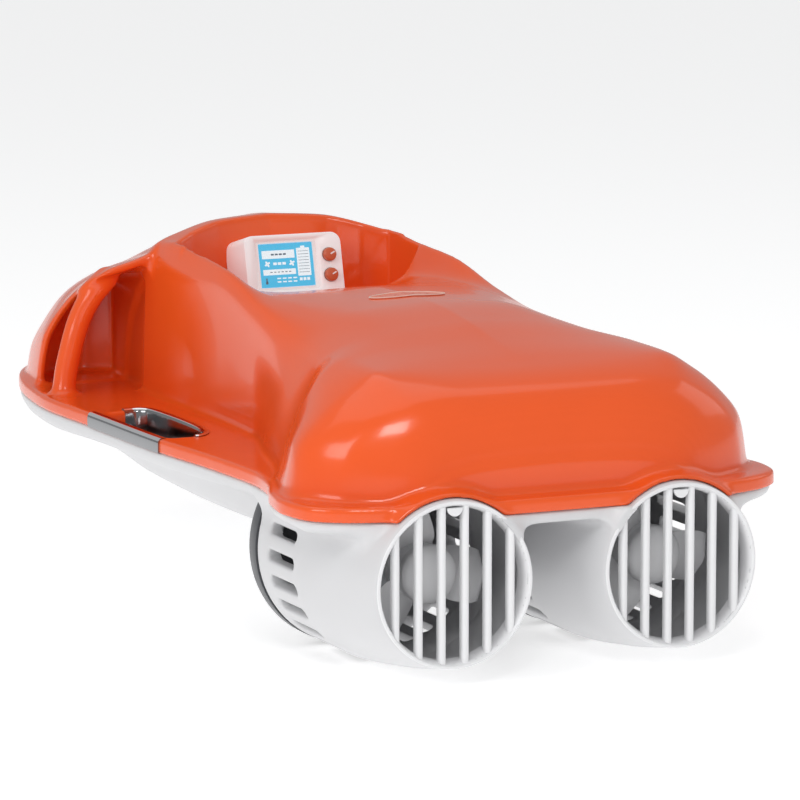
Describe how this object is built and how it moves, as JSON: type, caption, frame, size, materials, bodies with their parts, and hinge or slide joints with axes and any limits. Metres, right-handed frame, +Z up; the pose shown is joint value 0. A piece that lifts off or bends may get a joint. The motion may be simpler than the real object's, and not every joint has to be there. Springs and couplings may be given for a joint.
{
  "type": "underwater scooter",
  "caption": "Twin-jet underwater scooter: moulded hull with hand grips under a front dome, tilted control display, and ducted propellers behind slotted nacelles.",
  "frame": {"origin": "on the floor, under the middle of the board's length and breadth", "axes": "+Y towards the nose, +Z up, +X to the rider's right"},
  "size_m": [0.4892, 1.0161, 0.3525],
  "materials": {
    "orange_shell": "glossy moulded",
    "orange_trim": "glossy moulded",
    "white_hull": "glossy moulded",
    "white_trim": "satin",
    "black_rubber": "matte",
    "steel": "satin",
    "dark_grey": "satin",
    "grey_metal": "satin",
    "light_grey": "satin",
    "dark_plastic": "satin",
    "chrome": "polished",
    "clear_lens": "clear",
    "screen_blue": "lit display",
    "board_green": "satin",
    "orange_knob": "satin"
  },
  "bodies": {
    "hull": {"top_shell": "orange_shell", "oval_plate": "orange_trim", "bottom_hull": "white_hull", "perimeter_seal": "black_rubber", "shell_screws": "steel", "left_nacelle": "white_hull", "left_nose_ring": "dark_grey", "left_nose_cap": "dark_grey", "left_motor_housing": "grey_metal", "left_motor_stator": "grey_metal", "left_shaft_bearing": "steel", "left_shaft_seal": "black_rubber", "left_outlet_grille": "white_trim", "left_nose_screws": "steel", "left_grip_bar": "orange_trim", "left_trigger_pin": "steel", "left_trigger_switch": "black_rubber", "left_carry_liner": "chrome", "left_rim_trim": "chrome", "left_motor_controller": "grey_metal", "right_nacelle": "white_hull", "right_nose_ring": "dark_grey", "right_nose_cap": "dark_grey", "right_motor_housing": "grey_metal", "right_motor_stator": "grey_metal", "right_shaft_bearing": "steel", "right_shaft_seal": "black_rubber", "right_outlet_grille": "white_trim", "right_nose_screws": "steel", "right_grip_bar": "orange_trim", "right_trigger_pin": "steel", "right_trigger_switch": "black_rubber", "right_carry_liner": "chrome", "right_rim_trim": "chrome", "right_motor_controller": "grey_metal", "display_housing": "white_trim", "display_lens": "clear_lens", "lcd_module": "screen_blue", "display_board": "board_green", "rotary_switches": "dark_plastic", "battery_case": "dark_plastic", "battery_lid": "dark_plastic", "battery_cells": "grey_metal", "battery_board": "board_green"},
    "left_drive": {"left_propeller": "light_grey", "left_spinner": "light_grey", "left_prop_shaft": "steel", "left_motor_rotor": "steel"},
    "left_trigger": {"left_trigger": "dark_plastic"},
    "right_drive": {"right_propeller": "light_grey", "right_spinner": "light_grey", "right_prop_shaft": "steel", "right_motor_rotor": "steel"},
    "right_trigger": {"right_trigger": "dark_plastic"},
    "upper_knob": {"upper_knob": "orange_knob"},
    "lower_knob": {"lower_knob": "orange_knob"}
  },
  "joints": [
    {"name": "left_propeller_spin", "type": "hinge", "parent": "hull", "child": "left_drive", "pos_m": [-0.116, -0.44, 0.098], "axis": [0, 1, 0], "continuous": true},
    {"name": "right_propeller_spin", "type": "hinge", "parent": "hull", "child": "right_drive", "pos_m": [0.116, -0.44, 0.098], "axis": [0, 1, 0], "continuous": true},
    {"name": "left_trigger_pull", "type": "hinge", "parent": "hull", "child": "left_trigger", "pos_m": [-0.19009, 0.24086, 0.26749], "axis": [-0.9383, 0, 0.3459], "range_deg": [0, 6], "stiffness_Nm_per_rad": 0.6, "springref_deg": -6.88},
    {"name": "right_trigger_pull", "type": "hinge", "parent": "hull", "child": "right_trigger", "pos_m": [0.19009, 0.24086, 0.26749], "axis": [-0.9383, 0, -0.3459], "range_deg": [0, 6], "stiffness_Nm_per_rad": 0.6, "springref_deg": -6.88},
    {"name": "upper_knob_turn", "type": "hinge", "parent": "hull", "child": "upper_knob", "pos_m": [0.042, 0.14646, 0.31397], "axis": [0, -0.9703, 0.2419], "range_deg": [-135, 135]},
    {"name": "lower_knob_turn", "type": "hinge", "parent": "hull", "child": "lower_knob", "pos_m": [0.042, 0.14138, 0.29359], "axis": [0, -0.9703, 0.2419], "range_deg": [-135, 135]}
  ]
}
